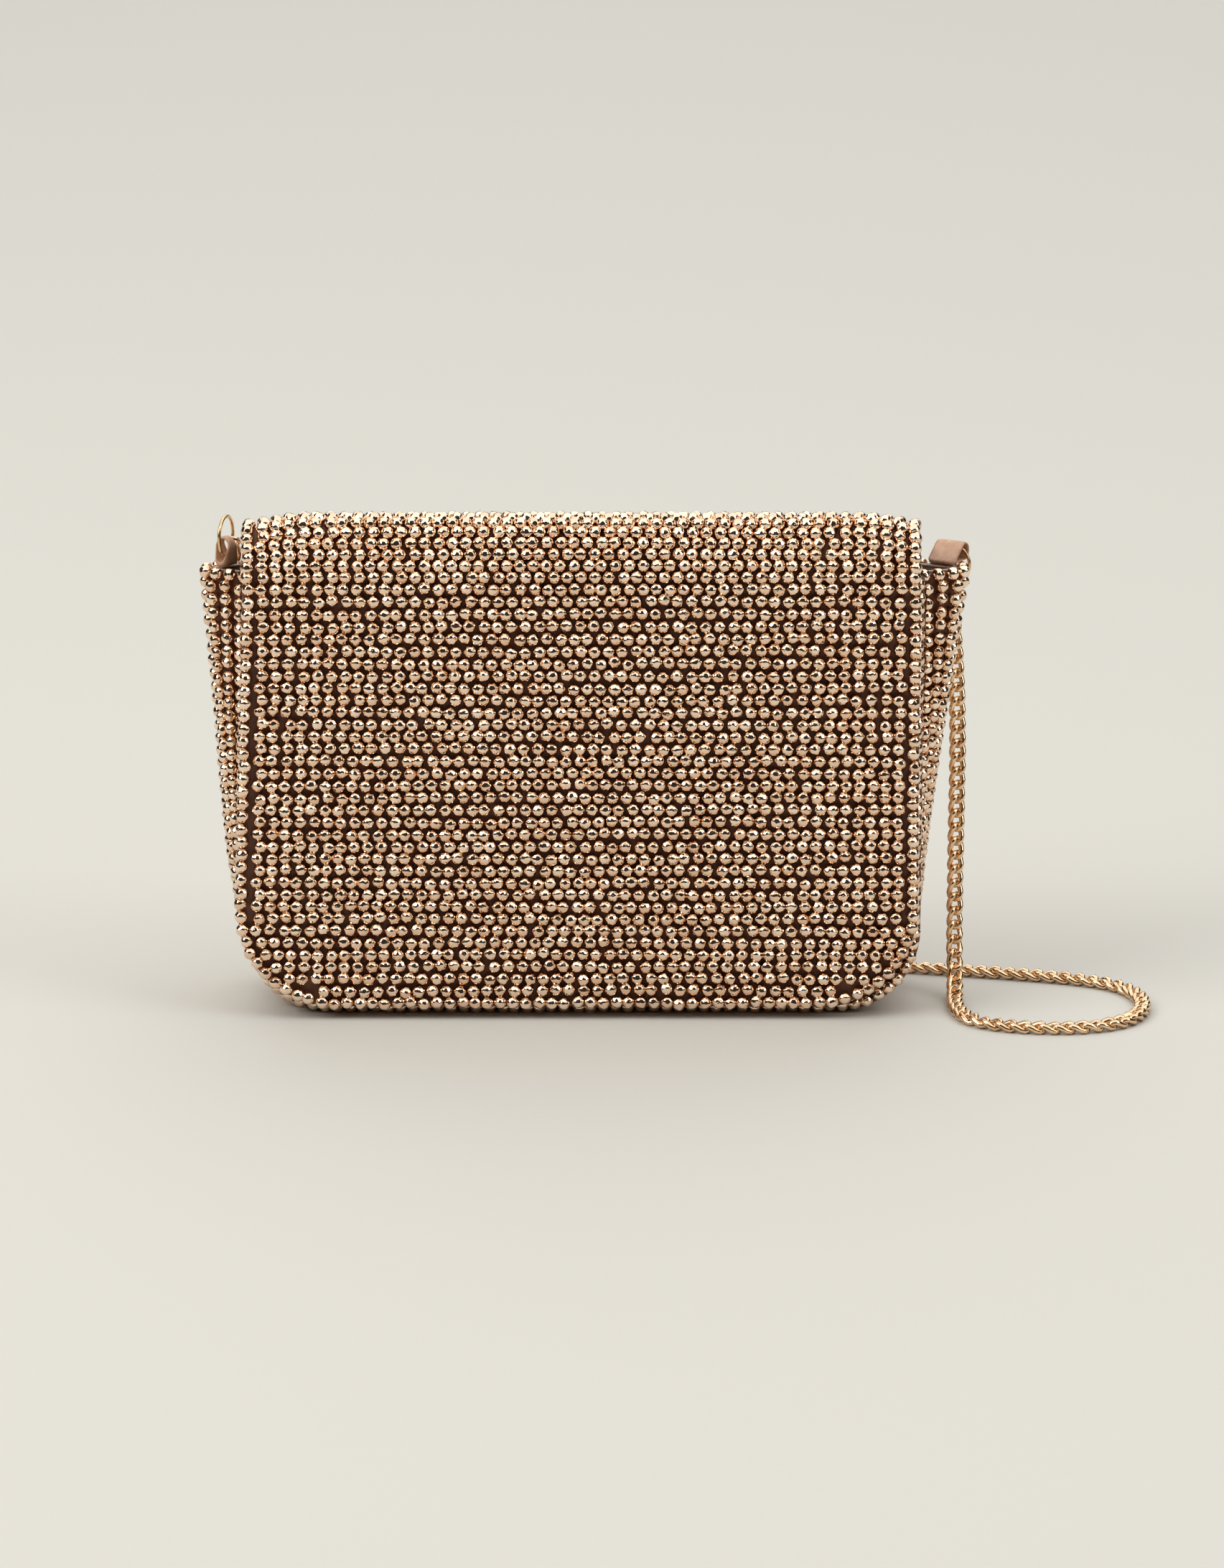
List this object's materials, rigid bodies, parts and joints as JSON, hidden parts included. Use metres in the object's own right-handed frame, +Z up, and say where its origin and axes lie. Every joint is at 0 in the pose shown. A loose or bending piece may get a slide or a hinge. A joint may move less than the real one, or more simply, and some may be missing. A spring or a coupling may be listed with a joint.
{
  "type": "evening bag",
  "caption": "Slim beaded evening bag with a deep rounded flap, a U-shaped gusset, a magnetic snap, satin end loops with wire rings and a curb chain strap.",
  "frame": {"origin": "middle of the base where the bag rests, level with the surface it stands on", "axes": "+X to the right along the bag's length, +Y towards the back panel, +Z up; the flap faces -Y"},
  "size_m": [0.3261, 0.1219, 0.1737],
  "materials": {
    "beads": "metallised rose gold, lightly faceted, mirror bright",
    "satin": "copper brown satin with a soft sheen",
    "lining_cloth": "rose tan satin lining",
    "interlining": "plain white felt",
    "board": "plain stiffener board",
    "snap_metal": "polished rose gold plate",
    "magnet": "dull dark ferrite",
    "ring_wire": "polished gold plate",
    "chain": "polished rose gold plate",
    "ribbon": "narrow satin ribbon"
  },
  "bodies": {
    "bag_body": {"front_beadwork": "beads", "front_satin": "satin", "front_board": "board", "back_beadwork": "beads", "back_satin": "satin", "back_board": "board", "gusset_beadwork": "beads", "gusset_satin": "satin", "gusset_interlining_left": "interlining", "gusset_interlining_right": "interlining", "base_board": "board", "lining": "lining_cloth", "slip_pocket": "lining_cloth", "snap_socket": "snap_metal", "snap_magnet": "magnet", "snap_socket_washer": "snap_metal", "tab_left": "satin", "tab_right": "satin", "chain_drop": "chain", "chain_strap": "chain", "chain_rise": "chain", "chain_hank": "chain", "chain_tie": "ribbon"},
    "flap_top": {"flap_top_beadwork": "beads", "flap_top_satin": "satin", "flap_top_padding": "interlining", "flap_top_lining": "lining_cloth"},
    "flap_front": {"flap_front_beadwork": "beads", "flap_front_satin": "satin", "flap_front_board": "board", "flap_front_lining": "lining_cloth", "snap_stud": "snap_metal", "snap_stud_washer": "snap_metal"},
    "ring_left": {"ring_left": "ring_wire", "end_link_left": "chain"},
    "ring_right": {"ring_right": "ring_wire", "end_link_right": "chain"}
  },
  "joints": [
    {"name": "flap_hinge", "type": "hinge", "parent": "bag_body", "child": "flap_top", "pos_m": [0, 0.017, 0.152], "axis": [-1, 0, 0], "range_deg": [0, 90]},
    {"name": "flap_fold", "type": "hinge", "parent": "flap_top", "child": "flap_front", "pos_m": [0, -0.0244, 0.152], "axis": [-1, 0, 0], "range_deg": [0, 90]},
    {"name": "ring_right_swing", "type": "hinge", "parent": "bag_body", "child": "ring_right", "pos_m": [0.126, 0.0108, 0.1576], "axis": [0.866, -0.5, 0], "range_deg": [0, 20]},
    {"name": "ring_left_swing", "type": "hinge", "parent": "bag_body", "child": "ring_left", "pos_m": [-0.1216, 0, 0.1565], "axis": [-0.2924, -0.9563, 0], "range_deg": [-12, 12]}
  ]
}
